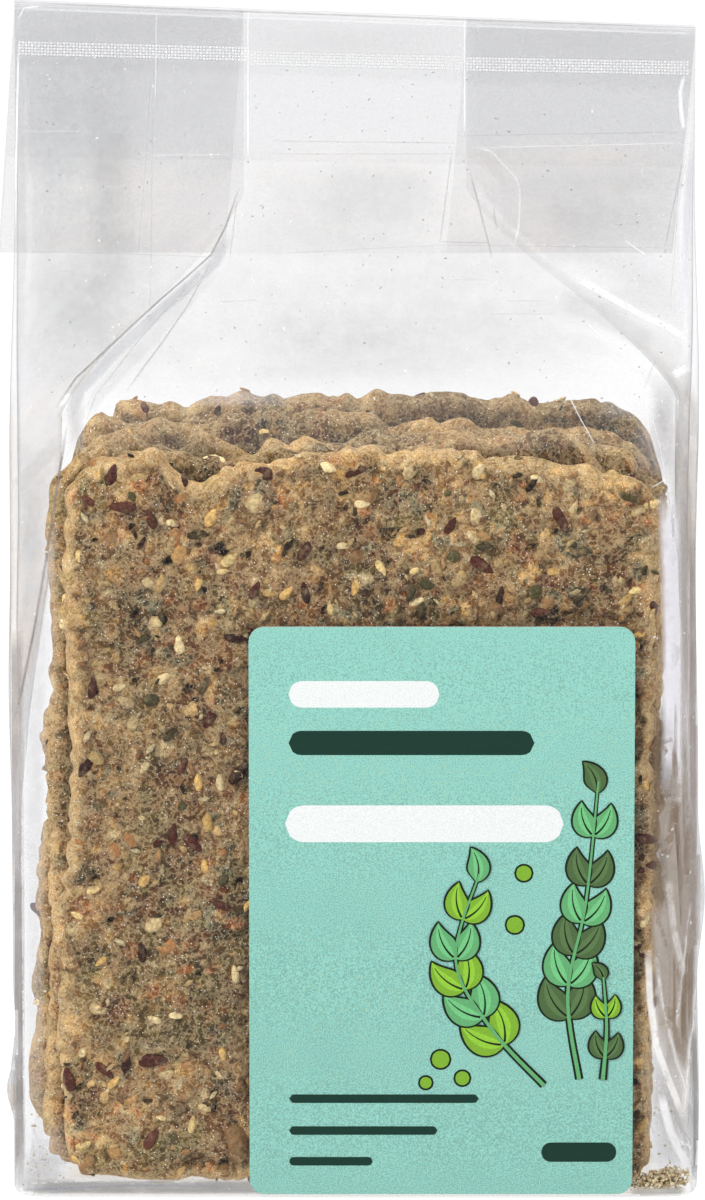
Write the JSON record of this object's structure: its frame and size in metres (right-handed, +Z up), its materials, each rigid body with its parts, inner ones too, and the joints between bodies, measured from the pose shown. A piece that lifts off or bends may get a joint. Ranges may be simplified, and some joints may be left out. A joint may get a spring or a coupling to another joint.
{
  "type": "bag of seaweed crispbread",
  "caption": "Clear block-bottom film bag of seeded seaweed crispbread slices, standing upright with its head folded over and sealed, side pleats and a plain mint label on the front.",
  "frame": {"origin": "middle of the bag's flat base, on the surface that it stands on", "axes": "+Z up to the folded head, -Y out of the front that carries the label, +X to the right seen from the front"},
  "size_m": [0.1192, 0.0526, 0.2016],
  "materials": {
    "film": "thin clear glossy film, creased",
    "paper": "mint paper, satin",
    "print": "printed ink on the label",
    "crispbread": "dry baked seed crust, matte and craggy",
    "seeds": "seed husks, slightly glossy"
  },
  "bodies": {
    "root": {"bag": "film", "label": "paper"}
  },
  "joints": []
}
